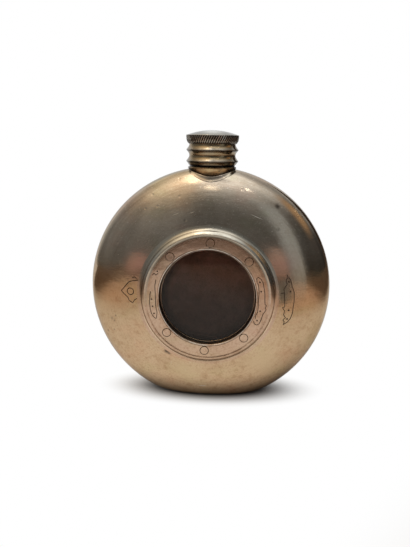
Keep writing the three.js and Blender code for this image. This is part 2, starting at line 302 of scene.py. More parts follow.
def blend(finish, share, first, second, kind="MIX"):
    """Two colours mixed by a share."""
    mix = add(finish, "ShaderNodeMix", data_type="RGBA", blend_type=kind)
    tree = finish.node_tree
    for key, value in (("Factor_Float", share), ("A_Color", first), ("B_Color", second)):
        socket = next(s for s in mix.inputs if s.identifier == key)
        if isinstance(value, bpy.types.NodeSocket):
            tree.links.new(value, socket)
        else:
            socket.default_value = value if key == "Factor_Float" else (*value, 1)
    return next(s for s in mix.outputs if s.identifier == "Result_Color")


def part_of(finish, place, axis):
    return add(finish, "ShaderNodeSeparateXYZ", links={0: place}).outputs[axis]


def measure(finish, operation, first, second=(0, 0, 0)):
    """A number reckoned from one or two places."""
    node = add(finish, "ShaderNodeVectorMath", operation=operation, links={0: first, 1: second})
    return node.outputs["Value"]


def near(finish, place, point, reach):
    """1 at a point and 0 beyond its reach, in millimetres."""
    away = measure(finish, "DISTANCE", place, Vector(point) * MM)
    return between(finish, away, reach * MM, 0.0)


def out_from(finish, place, centre, stretch):
    """The distance from a point, with each direction stretched by its own share. A 0 leaves one out."""
    moved = add(finish, "ShaderNodeVectorMath", operation="SUBTRACT", links={0: place, 1: centre})
    level = add(finish, "ShaderNodeVectorMath", operation="MULTIPLY", links={0: moved.outputs[0], 1: stretch})
    return measure(finish, "LENGTH", level.outputs[0])


def scratches(finish, place, scale, turn, least):
    """Fine straight lines along one lean across the front and back."""
    lines = cloud(finish, place, scale, 2, (1, 1, 0.012), (0, math.radians(turn), 0))
    return between(finish, lines, least, least + 0.05)


def streak(finish, place, point, lean, length, width):
    """1 inside one long thin mark and 0 outside it. Its half length and half width are in millimetres."""
    laid = add(finish, "ShaderNodeMapping", vector_type="TEXTURE", links={
        "Vector": place, "Location": Vector(point) * MM, "Rotation": (0, math.radians(-lean), 0),
        "Scale": Vector((length, length, width)) * MM})
    return between(finish, measure(finish, "LENGTH", laid.outputs[0]), 1.0, 0.3)


def unrolled(finish, place, round_neck):
    """Places for the lines that turning leaves: out from the window's axis or up the neck, and a little
    round it."""
    length_of_turn = 0.0012  # that a radian round the axis counts for
    across = part_of(finish, place, "X")
    if round_neck:
        along = part_of(finish, place, "Z")
        other = part_of(finish, place, "Y")
    else:
        along = out_from(finish, place, front(0, 0), (1, 0, 1))
        other = reckon(finish, "SUBTRACT", part_of(finish, place, "Z"), WINDOW_HEIGHT * MM)
    angle = reckon(finish, "MULTIPLY", reckon(finish, "ARCTAN2", other, across), length_of_turn)
    return add(finish, "ShaderNodeCombineXYZ", links={0: along, 1: angle}).outputs[0]


def connect(finish, name, socket):
    shader = finish.node_tree.nodes["Principled BSDF"]
    finish.node_tree.links.new(socket, shader.inputs[name])


def roughen(finish, relief):
    """A relief on the surface, in millimetres."""
    bump = add(finish, "ShaderNodeBump", links={"Height": relief, "Strength": 1.0, "Distance": MM})
    connect(finish, "Normal", bump.outputs[0])


def lay_over(finish, share, colour):
    """Lays a colour over a finish by a share."""
    under = finish.node_tree.nodes["Principled BSDF"].inputs["Base Color"].links[0].from_socket
    connect(finish, "Base Color", blend(finish, share, under, colour))


def total(finish, first, *shares):
    """A value with shares of other values added."""
    for value, share in shares:
        first = reckon(finish, "ADD", first, reckon(finish, "MULTIPLY", value, share))
    return first


def both(finish, *shares):
    """Shares multiplied together."""
    first = shares[0]
    for share in shares[1:]:
        first = reckon(finish, "MULTIPLY", first, share)
    return first


def show_mixed(finish, share, first, second):
    """Ends a finish in two shaders mixed by a share."""
    mixed = add(finish, "ShaderNodeMixShader", links={0: share, 1: first, 2: second})
    output = finish.node_tree.nodes["Material Output"]
    finish.node_tree.links.new(mixed.outputs[0], output.inputs["Surface"])


# What colours the pewter where it lies
GREENISH = (0.93, 1.0, 0.92)
ROSY = (1.0, 0.89, 0.88)
CLOUDED = (0.93, 0.9, 0.87)
SPECKLED = (0.66, 0.57, 0.48)
STAINED = (0.7, 0.61, 0.53)
SWIRLED = (0.78, 0.72, 0.67)
TURNED = (0.76, 0.7, 0.64)
SCRATCHED = (0.7, 0.62, 0.52)
# the next colour, for scuff marks, is partly a painted glint
SCUFFED_AND_GLINT = (0.8, 0.74, 0.66)
PITTED = (0.09, 0.06, 0.04)
MARKED = (0.06, 0.042, 0.03)
# the next colour, for rubbed streaks, is partly a painted highlight
RUBBED_AND_GLINT = (0.78, 0.74, 0.68)


def worn_pewter(
        name, tones, rough, edge=(0.66, 0.65, 0.64), round_neck=False,
        marks=(), warm_spots=(), dents=(), rubs_and_glints=()):
    """Old polished pewter in its tones at the top, the middle and the foot, where warmer lower tones are
    partly a painted reflection of a warm table, and in the colour of its edge where it is seen at a slant. It
    is mottled, tarnished greenish and rosy in places, with turned lines, fine scratches, pits, and scuff
    marks that are lighter in the upper half as partly painted glints, and with dark marks, warm spots that
    are partly painted reflections, dents, and rubbed streaks that are partly painted highlights, at their own
    places."""
    upper, middle, lower = tones
    finish = new_finish(name, upper, 1.0, rough)
    finish.node_tree.nodes["Principled BSDF"].inputs["Specular Tint"].default_value = (*edge, 1)
    place = place_of(finish)
    height = part_of(finish, place, "Z")
    patches = cloud(finish, place, 55, 5)
    tint = cloud(finish, place, 70, 4, (1, 1, 1.6), (0.3, 0.8, 0.1))
    grain = cloud(finish, place, 1300, 6)
    mottle = cloud(finish, place, 420, 4)
    swirls = cloud(finish, place, 160, 4, (1, 1, 2.5))
    ripples = cloud(finish, place, 34, 2)
    round_axis = unrolled(finish, place, round_neck)
    turned = cloud(finish, round_axis, 1900, 3)
    spun = cloud(finish, round_axis, 300, 2)
    handled = between(finish, height, 0.066, 0.034, 0.35, 1.0)
    drift = total(finish, height, (patches, 0.012))
    # the warmer lower tones are partly a painted reflection of the warm table below
    colour = blend(finish, between(finish, drift, 0.074, 0.046), upper, middle)
    colour = blend(finish, between(finish, drift, 0.036, 0.014), colour, lower)
    for share, veil in (
            (between(finish, tint, 0.52, 0.7, 0, 0.6), GREENISH),
            (between(finish, tint, 0.48, 0.3, 0, 0.6), ROSY),
            (between(finish, patches, 0.35, 0.7), CLOUDED),
            (both(finish, between(finish, grain, 0.45, 0.75, 0.0, 0.5), handled), SPECKLED),
            (both(finish, between(finish, mottle, 0.52, 0.72, 0.0, 0.5), handled), STAINED),
            (between(finish, swirls, 0.5, 0.75, 0.0, 0.3), SWIRLED),
            (between(finish, turned, 0.5, 0.72, 0.0, 0.35), TURNED)):
        colour = blend(finish, share, colour, veil, "MULTIPLY")
    # warm spots, broken up by the patches: partly painted reflections of warm things round the flask
    for point, reach, warm_tint in warm_spots:
        around = near(finish, place, on_front(*point), reach)
        share = both(finish, around, between(finish, patches, 0.25, 0.6))
        colour = blend(finish, share, colour, warm_tint)
    lines = scratches(finish, place, 900, 62, 0.72)
    for scale, lean, least in ((1100, -35, 0.73), (800, 8, 0.74)):
        lines = reckon(finish, "MAXIMUM", lines, scratches(finish, place, scale, lean, least))
    colour = blend(finish, both(finish, lines, 0.15), colour, SCRATCHED)
    # scuff marks, lighter in the upper half only: partly painted glints
    flecks = cloud(finish, place, 1100, 3, (1, 1, 1.8), (0, 0.5, 0))
    scuffs_and_glints = both(finish, between(finish, flecks, 0.58, 0.74), between(finish, height, 0.05, 0.072))
    colour = blend(finish, both(finish, scuffs_and_glints, 0.3), colour, SCUFFED_AND_GLINT)
    pits = between(finish, cloud(finish, place, 620, 2), 0.75, 0.8)
    colour = blend(finish, both(finish, pits, handled, 0.6), colour, PITTED)
    for point, reach, strength in marks:
        spot = near(finish, place, on_front(*point), reach)
        broken = both(finish, spot, between(finish, grain, 0.25, 0.45), strength)
        colour = blend(finish, broken, colour, MARKED)
    dull = total(finish, rough - 0.05, (patches, 0.08), (lines, 0.08), (pits, 0.2), (scuffs_and_glints, 0.1))
    relief = total(
        finish, 0.0, (grain, 0.004), (turned, 0.003), (spun, 0.03), (swirls, 0.05), (ripples, 0.5),
        (lines, -0.003), (pits, -0.012), (scuffs_and_glints, -0.004))
    # rubbed streaks, lighter and rougher: partly painted highlights
    for point, lean, length, width in rubs_and_glints:
        rub_and_glint = streak(finish, place, on_front(*point), lean, length, width)
        colour = blend(finish, both(finish, rub_and_glint, 0.5), colour, RUBBED_AND_GLINT)
        dull = total(finish, dull, (rub_and_glint, 0.28))
        relief = total(finish, relief, (rub_and_glint, -0.012))
    for point, reach, depth in dents:
        relief = total(finish, relief, (near(finish, place, on_front(*point), reach), -depth))
    connect(finish, "Base Color", colour)
    connect(finish, "Roughness", dull)
    roughen(finish, relief)
    return finish


def cap_wear_and_painted_light(finish):
    """Rubbed patches round the cap and old dirt in its hollows, painted shade under its beads and along its
    lower edge, and a darker top with a painted highlight at its front and a lighter rim, rubbed and partly a
    painted highlight."""
    place = place_of(finish)
    height = part_of(finish, place, "Z")
    out = out_from(finish, place, (0, 0, 0), (1, 1, 0))
    ragged = cloud(finish, place, 420, 4)
    side = between(finish, height, 0.1042, 0.104)
    rubbed = between(finish, cloud(finish, place, 170, 3, (1, 1, 0.35)), 0.48, 0.66)
    lay_over(finish, both(finish, rubbed, 0.4), (0.6, 0.56, 0.49))
    hollows = between(finish, total(finish, out, (ragged, 0.0005)), 0.01075, 0.0099)
    lay_over(finish, both(finish, hollows, side, 0.75), (0.27, 0.185, 0.09))
    wavy = total(finish, height, (ragged, 0.0003))
    for i in range(BEAD_COUNT):
        crest = CAP_FOOT + FIRST_BEAD + i * BEAD_PITCH
        # painted shade under each bead's crest
        under = both(
            finish, between(finish, wavy, (crest + 0.16) * MM, (crest + 0.02) * MM),
            between(finish, wavy, (crest - 0.65) * MM, (crest - 0.35) * MM), side)
        lay_over(finish, both(finish, under, 0.85), (0.05, 0.035, 0.022))
    # painted shade along the cap's lower edge, by the gap over the collar
    lower_edge = between(finish, height, 0.0963, 0.0958)
    lay_over(finish, both(finish, lower_edge, 0.9), (0.06, 0.042, 0.028))
    # a darker top
    top = between(finish, total(finish, height, (ragged, 0.0004)), 0.1075, 0.1079)
    lay_over(finish, both(finish, top, 0.9), (0.31, 0.285, 0.235))
    # painted highlight at the front of the top
    spot = near(finish, place, (0.2, -5.5, 108.9), 6.0)
    lay_over(finish, both(finish, top, spot), (0.84, 0.81, 0.73))
    # a lighter rim on the top: rubbed, and partly a painted highlight
    rim = between(finish, out, 0.0099, 0.0104)
    lay_over(finish, both(finish, top, rim, 0.6), (0.6, 0.56, 0.48))


def knurl_darker_foot(finish):
    """Darker along the lower edge of the knurl."""
    lower_edge = between(finish, part_of(finish, place_of(finish), "Z"), 0.1061, 0.1051)
    lay_over(finish, both(finish, lower_edge, 0.9), (0.26, 0.215, 0.16))


def collar_painted_shade(finish):
    """Painted shade on the collar's top, in the gap under the cap, and along its foot, which follows the
    dome.
    """
    place = place_of(finish)
    height = part_of(finish, place, "Z")
    # painted shade on the collar's top, under the cap
    lay_over(finish, between(finish, height, 0.09485, 0.0951), (0.015, 0.01, 0.007))
    # painted shade along the collar's foot, where it meets the dome
    deep_squared = reckon(finish, "POWER", part_of(finish, place, "Y"), 2.0)
    above_foot = reckon(finish, "SUBTRACT", height, total(finish, 0.0941, (deep_squared, -41.0)))
    lay_over(finish, between(finish, above_foot, 0.0023, 0.0011), (0.05, 0.036, 0.024))


def ring_wear_and_painted_light(finish):
    """The ring's raised edge, greyer than its plate in the upper half as painted shade, with painted shade in
    the groove inside it in the upper half. The lip is rubbed lighter and partly a painted highlight, the
    edge's crest in the upper half is a painted highlight, and its foot in the lower half is painted lighter
    as painted light."""
    place = place_of(finish)
    height = part_of(finish, place, "Z")
    upper = between(finish, height, 0.038, 0.062)
    lower = between(finish, height, 0.042, 0.03)
    out = out_from(finish, place, front(0, 0), (1, 0, 1))
    ragged = between(finish, cloud(finish, place, 300, 4), 0.3, 0.55)

    def round_band(middle, reach):
        return both(
            finish, between(finish, out, (middle - reach) * MM, middle * MM),
            between(finish, out, (middle + reach) * MM, middle * MM))

    # painted shade: the raised edge greyer in the upper half
    raised = between(finish, out, 0.0237, 0.0242)
    lay_over(finish, both(finish, raised, upper, 0.85), (0.4, 0.37, 0.3))
    # the lip, rubbed lighter: partly a painted highlight
    lay_over(finish, both(finish, round_band(19.42, 0.25), ragged, 0.75), (0.86, 0.8, 0.7))
    # painted light: the edge's foot lighter in the lower half
    lay_over(finish, both(finish, round_band(26.6, 0.6), lower, 0.8), (0.86, 0.68, 0.48))
    # painted highlight on the edge's crest in the upper half
    lay_over(finish, both(finish, round_band(25.6, 0.6), ragged, upper, 0.35), (0.8, 0.76, 0.66))
    # painted shade in the groove inside the edge, upper half only
    lay_over(finish, both(finish, round_band(24.2, 0.7), upper, 0.8), (0.11, 0.08, 0.052))


def mottled(name, first, second, metal, rough, scale, relief):
    """A finish of two colours in patches, uneven in gloss and a little uneven to the touch."""
    finish = new_finish(name, first, metal, rough)
    place = place_of(finish)
    patches = cloud(finish, place, scale, 5)
    grain = cloud(finish, place, scale * 9, 4)
    colour = blend(finish, between(finish, patches, 0.38, 0.66), first, second)
    colour = blend(finish, between(finish, grain, 0.4, 0.75, 0, 0.5), colour, (0.6, 0.55, 0.5), "MULTIPLY")
    connect(finish, "Base Color", colour)
    connect(finish, "Roughness", total(finish, rough - 0.08, (patches, 0.16)))
    roughen(finish, reckon(finish, "MULTIPLY", grain, relief))
    return finish


def pressed_cork():
    """Cork crumbs pressed together, with dark flecks between."""
    finish = new_finish("pressed_cork", (0.5, 0.34, 0.19), 0.0, 0.9)
    place = place_of(finish)
    crumbs = add(finish, "ShaderNodeTexVoronoi", links={"Vector": place, "Scale": 900.0})
    tone = part_of(finish, crumbs.outputs["Color"], "X")
    colour = blend(finish, tone, (0.56, 0.39, 0.22), (0.4, 0.25, 0.13))
    seam = between(finish, crumbs.outputs["Distance"], 0.55, 0.8)
    connect(finish, "Base Color", blend(finish, seam, colour, (0.12, 0.07, 0.035)))
    roughen(finish, reckon(finish, "MULTIPLY", crumbs.outputs["Distance"], -0.06))
    return finish


def dark_glass():
    """Dark window glass: browner above, with a painted shadow round its rim that is deepest towards the lower
    left, faint smears and a little dust.
    """
    finish = new_finish("dark_window_glass", (0.42, 0.32, 0.28), 0.0, 0.02)
    place = place_of(finish)
    out = out_from(finish, place, front(0, 0), (1, 0, 1))
    wiped = cloud(finish, place, 70, 3, (1, 1, 2.2), (0, 0.3, 0))
    # the glass's colour grows lighter towards the top
    higher_up = between(finish, part_of(finish, place, "Z"), 0.034, 0.056)
    colour = blend(finish, higher_up, (0.45, 0.36, 0.31), (0.9, 0.74, 0.68))
    # painted shadow round the rim, deepest towards the lower left
    down_left = measure(finish, "DOT_PRODUCT", place, (-0.6, 0, -0.8))
    shaded = between(finish, down_left, -0.046, -0.03, 0.25, 1.0)
    rim = both(finish, between(finish, out, 0.0145, 0.0182), shaded)
    colour = blend(finish, rim, colour, (0.12, 0.09, 0.08))
    colour = blend(finish, between(finish, wiped, 0.45, 0.7), colour, (0.84, 0.8, 0.76), "MULTIPLY")
    connect(finish, "Base Color", colour)
    dust = between(finish, cloud(finish, place, 2400, 2), 0.72, 0.78)
    smears = between(finish, wiped, 0.4, 0.7)
    connect(finish, "Roughness", total(finish, 0.01, (smears, 0.05), (dust, 0.2)))
    shader = finish.node_tree.nodes["Principled BSDF"].inputs
    shader["Transmission Weight"].default_value = 1.0
    shader["IOR"].default_value = 1.33
    shader["Specular Tint"].default_value = (1.0, 0.88, 0.78, 1)
    return finish


# Places on the front, in millimetres across and above the foot. Marks have a reach and a strength, warm
# spots, which are partly painted reflections, a reach and a colour, dents a reach and a depth, and rubbed
# streaks, which are partly painted highlights, a lean, half a length and half a width.
BODY_MARKS = (
    ((26.5, 80.5), 1.7, 0.85), ((27.0, 71.9), 1.3, 0.4), ((-16.3, 21.6), 1.6, 1.0),
    ((-15.2, 20.8), 1.2, 0.85), ((-39.5, 33.3), 1.4, 0.4), ((-37.8, 34.7), 0.7, 0.6),
    ((-38.4, 32.4), 0.7, 0.6), ((-41.8, 26.9), 0.9, 0.5), ((-38.7, 28.2), 0.7, 0.5))
# Warm spots: partly painted reflections of warm things round the flask
BODY_WARM_SPOTS = (
    ((-45, 42), 9, (0.54, 0.39, 0.24)), ((45.5, 42), 8, (0.5, 0.37, 0.24)), ((-46, 26), 9, (0.5, 0.36, 0.21)),
    ((46, 28), 10, (0.44, 0.31, 0.17)), ((-27, 58), 10, (0.5, 0.35, 0.28)), ((30, 58), 10, (0.5, 0.35, 0.28)),
    ((-8, 14), 9, (0.5, 0.37, 0.21)), ((22, 18), 11, (0.5, 0.36, 0.21)))
BODY_DENTS = (
    ((-23.0, 84.0), 0.8, 0.05), ((-25.5, 78.6), 0.7, 0.05), ((-11.9, 83.8), 0.9, 0.04),
    ((-20.6, 79.7), 0.7, 0.04), ((-12.5, 90.4), 0.8, 0.04), ((-36.8, 64.8), 0.8, 0.06),
    ((-9.1, 74.9), 0.8, 0.06), ((12.6, 86.8), 1.1, 0.04), ((35.6, 77.8), 1.2, 0.05))
# Rubbed streaks: partly painted highlights
BODY_RUBS_AND_GLINTS = (
    ((18.4, 76.7), -23, 3.4, 0.2), ((-13.0, 77.2), 20, 1.9, 0.13), ((-6.7, 78.0), 18, 1.5, 0.12),
    ((-1.7, 5.6), 2, 2.0, 0.18))

# Tones at the top, the middle and the foot. The warmer, more golden lower tones of the body and the ring are
# partly a painted reflection of the warm table below.
BODY_TONES = (0.5, 0.42, 0.33), (0.52, 0.37, 0.226), (0.53, 0.37, 0.226)
RING_TONES = (0.56, 0.42, 0.33), (0.52, 0.36, 0.25), (0.49, 0.33, 0.2)
CAP_TONES = 3 * ((0.28, 0.24, 0.185),)
KNURL_TONES = 3 * ((0.58, 0.53, 0.45),)
SPOUT_TONES = 3 * ((0.48, 0.41, 0.32),)
CAP_EDGE = (0.76, 0.78, 0.8)

body_pewter = worn_pewter(
    "worn_body_pewter", BODY_TONES, 0.16,
    marks=BODY_MARKS, warm_spots=BODY_WARM_SPOTS, dents=BODY_DENTS, rubs_and_glints=BODY_RUBS_AND_GLINTS)
ring_pewter = worn_pewter("satin_ring_pewter", RING_TONES, 0.2)
ring_wear_and_painted_light(ring_pewter)
cap_pewter = worn_pewter("worn_cap_pewter", CAP_TONES, 0.16, CAP_EDGE, round_neck=True)
cap_wear_and_painted_light(cap_pewter)
knurl_pewter = worn_pewter("rubbed_knurl_pewter", KNURL_TONES, 0.2, CAP_EDGE, round_neck=True)
knurl_darker_foot(knurl_pewter)
spout_pewter = worn_pewter("worn_spout_pewter", SPOUT_TONES, 0.2, round_neck=True)
tarnish = mottled("dark_tarnish", (0.44, 0.31, 0.16), (0.3, 0.2, 0.11), 1.0, 0.24, 260, 0.004)
collar_painted_shade(tarnish)
knurl_dirt = mottled("knurl_dirt", (0.022, 0.015, 0.01), (0.034, 0.023, 0.014), 0.0, 0.85, 400, 0.004)
rivet_dirt = mottled("rivet_dirt", (0.3, 0.2, 0.12), (0.2, 0.13, 0.075), 0.0, 0.8, 400, 0.004)
line_grime = mottled("line_grime", (0.1, 0.06, 0.034), (0.06, 0.037, 0.022), 0.0, 0.8, 400, 0.004)
inside_tarnish = mottled("inside_tarnish", (0.62, 0.38, 0.3), (0.42, 0.25, 0.19), 0.1, 0.6, 120, 0.01)
brass = mottled("dull_brass", (0.58, 0.44, 0.2), (0.42, 0.3, 0.13), 1.0, 0.35, 300, 0.004)
rubber = mottled("black_rubber", (0.012, 0.011, 0.01), (0.02, 0.018, 0.016), 0.0, 0.36, 300, 0.006)
cork = pressed_cork()
glass = dark_glass()


# Body


def section(inset, stations):
    """Half of the body's section, from the middle of a face to the seam, moved in by an inset."""
    power = 2 / BODY_FULLNESS
    points = []
    for i in range(stations + 1):
        turn = math.pi / 2 * i / stations
        radius = (BODY_RADIUS - inset) * math.sin(turn) ** power
        depth = (BODY_HALF_DEPTH - inset) * max(math.cos(turn), 0) ** power
        points.append((radius, depth))
    return points


def level_foot(piece, height):
    """Cuts a piece off flat above the foot, and stays in edit mode with the cut face selected."""
    take(piece)
    bpy.ops.object.mode_set(mode="EDIT")
    bpy.ops.mesh.select_all(action="SELECT")
    bpy.ops.mesh.bisect(plane_co=(0, 0, height * MM), plane_no=(0, 0, 1), threshold=HAIR * MM,
                        use_fill=True, clear_inner=True)


def round_foot():
    """In edit mode, with the cut face selected: draws it down to the table and in, along one round."""
    steps = 7
    radius = FOOT_ROUND / (1 - math.sin(FOOT_LEAN))
    half_depth = dome_depth(WINDOW_HEIGHT - FOOT_ROUND)
    last_drop, last_share = 0, 1
    for i in range(1, steps + 1):
        lean = FOOT_LEAN + (math.pi / 2 - FOOT_LEAN) * i / steps
        drop = radius * (math.sin(lean) - math.sin(FOOT_LEAN))
        share = 1 - radius * (math.cos(FOOT_LEAN) - math.cos(lean)) / half_depth
        bpy.ops.mesh.extrude_region_move(TRANSFORM_OT_translate={"value": (0, 0, (last_drop - drop) * MM)})
        ratio = share / last_share
        bpy.ops.transform.resize(value=(ratio, ratio, 1), center_override=(0, 0, 0))
        last_drop, last_share = drop, share


def half_body(name, side):
    """One half: side is 1 for the front and -1 for the back."""
    outer = section(0, 44)
    outer[-1:] = [
        (BODY_RADIUS - 0.002, 0.16), (BODY_RADIUS - 0.02, 0.09), (BODY_RADIUS - SEAM_GROOVE, SEAM)]
    outer.append((0, SEAM))
    shell = turn_front(name, [(radius, side * depth) for radius, depth in outer], BODY_STEPS)
    level_foot(shell, FOOT_ROUND)
    round_foot()
    bpy.ops.object.mode_set(mode="OBJECT")
    paint(shell, body_pewter)
    inner = section(SHELL_WALL, 20)
    inner[-1] = (BODY_RADIUS - SHELL_WALL, -1)
    inner.append((0, -1))
    hollow = turn_front("hollow", [(radius, side * depth) for radius, depth in inner], HOLLOW_STEPS)
    level_foot(hollow, SHELL_WALL)
    bpy.ops.object.mode_set(mode="OBJECT")
    paint(hollow, inside_tarnish)
    combine(shell, hollow)
    drill(shell, NECK_HOLE_RADIUS, 30, upright(0, 95), inside_tarnish, 96)
    return shell


body_front = half_body("body_front", 1)
drill(body_front, WINDOW_HOLE_RADIUS, 30, front(0, 20), inside_tarnish, 128, math.pi / 2)
body_back = half_body("body_back", -1)


# Engraved lines


def wire_along(name, points, radius):
    """A thin round wire through the points."""
    start_piece(name)
    draw_chain(points)
    bpy.ops.mesh.select_all(action="SELECT")
    bpy.ops.mesh.remove_doubles(threshold=0.01 * MM)
    bpy.ops.object.mode_set(mode="OBJECT")
    bpy.ops.object.convert(target="CURVE")
    wire = bpy.context.object
    wire.data.bevel_depth = radius * MM
    wire.data.bevel_resolution = 1
    wire.data.use_fill_caps = True
    bpy.ops.object.convert(target="MESH")
    bpy.ops.object.mode_set(mode="EDIT")
    close_up()
    bpy.ops.object.mode_set(mode="OBJECT")
    return bpy.context.object


def line_tool(name, lines, rings, radius, depth_at):
    """A cutter of thin round lines laid on a surface. Lines are lists of (across, up) from the window's
    axis, and rings are (across, up, radius)."""
    def lay(across, up):
        return Vector((across, -depth_at(across, up), WINDOW_HEIGHT + up)) * MM

    courses = []
    for line in lines:
        course = []
        for (x0, z0), (x1, z1) in zip(line, line[1:]):
            course += [lay(x0 + (x1 - x0) * share, z0 + (z1 - z0) * share) for share in (0, 0.5)]
        courses.append(course + [lay(*line[-1])])
    for across, up, size in rings:
        turns = [FULL_TURN * i / 20 for i in range(21)]
        courses.append([lay(across + size * math.cos(t), up + size * math.sin(t)) for t in turns])
    tool = wire_along(name, courses[0], radius)
    for course in courses[1:]:
        combine(tool, wire_along("next_line", course, radius), "UNION")
    paint(tool, line_grime)
    return tool


def on_dome(across, up):
    return dome_depth(math.hypot(across, up))


def on_plate(across, up):
    return PLATE_FACE


LATCH = [
    [(-27.4, 5.7), (-30.0, 5.3), (-31.7, 4.7), (-33.1, 2.9), (-34.9, 0.8), (-33.7, -0.4), (-32.1, -1.7),
     (-31.6, -2.9), (-30.1, -3.8), (-29.3, -2.5), (-28.2, -1.8)],
    [(-30.2, 6.4), (-29.2, 6.9), (-28.4, 6.3)],
]
LATCH_RINGS = [(-31.0, 0.9, 1.35)]
HINGE = [
    [(30.9, 9.5), (31.5, 8.4), (30.7, 7.4), (31.2, 5.6), (30.0, 3.8), (30.2, 2.2), (30.6, -3.6), (29.6, -3.7),
     (30.6, -5.1), (30.3, -6.8), (31.1, -8.1), (30.1, -8.9), (30.7, -9.9), (30.3, -11.1)],
    [(30.5, -10.9), (31.9, -10.0), (33.1, -8.5), (33.9, -6.1), (34.0, -4.0), (34.3, -1.6), (34.2, 2.1),
     (33.2, 4.7), (32.5, 7.3), (31.7, 8.2)],
    [(28.9, 2.0), (30.0, 2.2)],
]
HINGE_RINGS = [(31.9, 6.6, 0.22), (32.6, 2.7, 0.22), (32.2, -5.0, 0.22), (31.8, -8.6, 0.22)]
RING_LINES = [
    [(-20.3, 6.7), (-20.7, 4.1), (-20.5, 0.9), (-20.4, -2.7), (-20.2, -4.8), (-19.8, -6.6), (-19.9, -7.6),
     (-20.0, -9.0)],
    [(-20.2, -9.1), (-21.1, -8.5), (-22.0, -7.1), (-22.5, -5.3), (-22.8, -2.4), (-22.6, 0.8), (-22.3, 2.0)],
    [(-21.5, 8.6), (-20.9, 9.4), (-20.3, 8.5), (-19.4, 9.3)],
    [(19.3, 6.9), (19.1, 8.3), (19.7, 8.9), (20.8, 8.1), (21.7, 6.6), (22.1, 4.6), (22.5, 2.3), (22.6, -0.7),
     (22.7, -1.9), (23.3, -2.4), (22.8, -3.3), (23.2, -4.1), (22.7, -4.9), (21.9, -6.2), (21.4, -8.2),
     (20.7, -9.8), (19.7, -10.4), (18.8, -10.0), (18.4, -8.7)],
    [(19.0, -8.0), (19.2, -6.5), (19.9, -5.2), (20.1, -2.6), (20.1, 0.2), (20.2, 2.6), (20.0, 4.9),
     (19.5, 6.7)],
]
RING_RINGS = [
    (-22.0, -1.2, 0.2), (-21.6, -4.1, 0.2), (-21.0, -7.0, 0.2), (-19.7, 10.1, 0.18),
    (20.4, 6.9, 0.2), (21.0, 3.2, 0.2), (20.9, -4.7, 0.2), (19.8, -8.6, 0.2),
]
combine(body_front, line_tool("latch_lines", LATCH, LATCH_RINGS, 0.21, on_dome))
combine(body_front, line_tool("hinge_lines", HINGE, HINGE_RINGS, 0.2, on_dome))
smooth(body_front)
smooth(body_back)
fit(body_front, "flask", "pewter_body", "front_shell")
fit(body_back, "flask", "pewter_body", "rear_shell")


# Porthole


def edge_slope(steps):
    """The ring's outer slope, which gets steeper as it runs out."""
    stride = 0.32
    points = [(25.12, 19.83)]
    for i in range(steps):
        lean = math.radians(33 + 30 * (i + 0.5) / steps)
        radius, depth = points[-1]
        points.append((radius + stride * math.cos(lean), depth - stride * math.sin(lean)))
    return points


def rivet_place(i):
    """Across and up from the window's axis."""
    turn = FULL_TURN * i / RIVET_PLACES + RING_TURN
    return RIVET_CIRCLE * math.sin(turn), RIVET_CIRCLE * math.cos(turn)


porthole_ring = turn_front("porthole_ring", [
    (18.8, 18.5), (18.84, 18.75), (19.1, 19.5), (19.22, 19.78), (19.32, 19.9), (19.44, 19.95), (19.56, 19.91),
    (19.64, 19.8), (19.74, 19.64), (19.84, 19.64), (19.92, 19.72), (20.02, PLATE_FACE), (22.8, PLATE_FACE),
    (23.1, 19.745), (23.4, 19.73), (23.65, 19.715), (23.9, 19.71), (24.15, 19.72), (24.35, 19.742),
    (24.55, 19.778), (24.75, 19.81), (24.95, 19.83), *edge_slope(6), (26.52, 18.2), (26.57, 17.95),
    (26.58, 17.6), (26.0, 17.68), (23.8, 18.35), (23.4, 18.5)])
paint(porthole_ring, ring_pewter)
for i in RIVETS:
    across, up = rivet_place(i)
    hole = Vector((across, -PLATE_FACE - 0.2, WINDOW_HEIGHT + up)) * MM
    drill(porthole_ring, RIVET_HOLE_RADIUS, 2, hole, rivet_dirt, RIVET_STEPS, math.pi / 2)
combine(porthole_ring, line_tool("ring_lines", RING_LINES, RING_RINGS, 0.17, on_plate))
smooth(porthole_ring)
fit(porthole_ring, "flask", "pewter_ring", "bezel_ring")

rivet = turn_front("rivet", [
    (0, PLATE_FACE), (1.52, PLATE_FACE), (1.55, 19.74), (RIVET_RADIUS, 19.71), (RIVET_RADIUS, 19.5),
    (RIVET_RADIUS, 19.0), (0.6, 19.0), (0.6, 16.2), (0, 16.2)], RIVET_STEPS)
paint(rivet, ring_pewter)
smooth(rivet, 12)
for number, i in enumerate(RIVETS, 1):
    across, up = rivet_place(i)
    take(rivet)
    bpy.ops.object.duplicate()
    stud = bpy.context.object
    stud.name = "porthole_rivet_" + str(number)
    bpy.ops.object.mode_set(mode="EDIT")
    bpy.ops.mesh.select_all(action="SELECT")
    bpy.ops.transform.translate(value=Vector((across, 0, up)) * MM)
    bpy.ops.object.mode_set(mode="OBJECT")
    fit(stud, "flask", "pewter_ring", "bezel_rivet_" + str(number))
bpy.data.objects.remove(rivet)

outer_gasket = turn_front("outer_gasket", [
    (20.15, 17.14), (20.15, 18.46), (18.9, 18.46), (18.82, 18.4), (18.8, 18.2), (18.8, 17.4), (18.82, 17.2),
    (18.9, 17.14)])
dress(outer_gasket, rubber, "flask", "gasket_rubber", "window_gasket_outer")

retainer = turn_front("window_retainer", [
    (RETAINER_RADIUS + RETAINER_WIRE * math.cos(turn), RETAINER_DEPTH + RETAINER_WIRE * math.sin(turn))
    for turn in [FULL_TURN * i / 8 for i in range(8)]])
dress(retainer, ring_pewter, "flask", "pewter_ring", angle=60)

